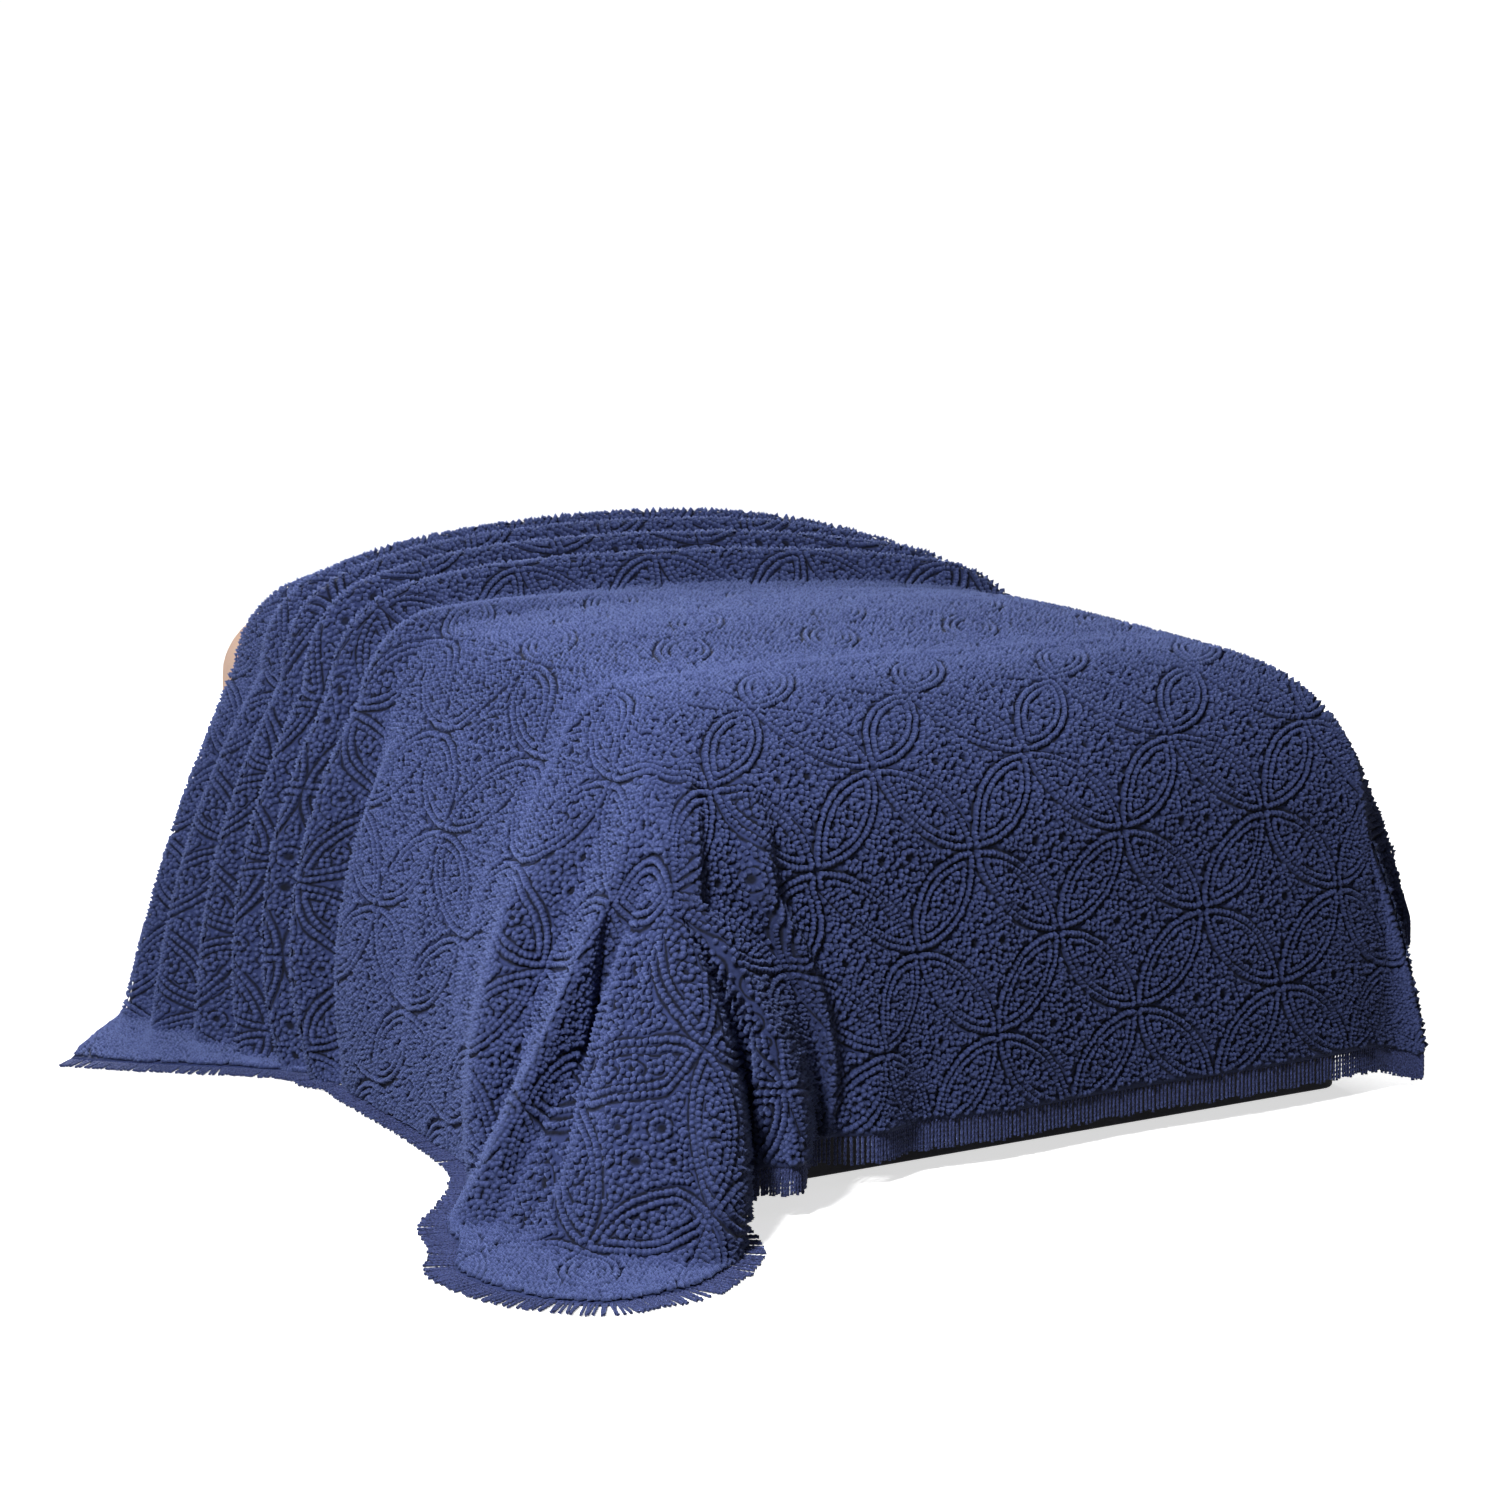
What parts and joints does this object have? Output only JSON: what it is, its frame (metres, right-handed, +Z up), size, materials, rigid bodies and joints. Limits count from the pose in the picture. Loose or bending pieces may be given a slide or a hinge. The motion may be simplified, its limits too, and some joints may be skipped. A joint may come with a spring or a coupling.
{
  "type": "chenille bedspread on a bed",
  "caption": "Fringed chenille bedspread draped over a plain double bed: rolled folds near the head, one side and one foot corner trailing on the floor.",
  "frame": {"origin": "centre of the underside of the bed base, on the floor", "axes": "+X across the bed to its right side as seen from the foot, +Y from the foot to the head, +Z up"},
  "size_m": [2.316, 2.5068, 1.0202],
  "materials": {
    "chenille": "navy tufted cotton pile, matt",
    "cord": "navy twisted cotton cord, matt",
    "sheet": "pale peach woven cotton, matt",
    "base_cloth": "near-black woven cloth, matt"
  },
  "bodies": {
    "root": {"bedspread": "chenille", "fringe_left": "cord", "fringe_left_corner": "cord", "fringe_foot": "cord", "fringe_right_corner": "cord", "fringe_right": "cord", "mattress": "sheet", "bed_base": "base_cloth"}
  },
  "joints": []
}
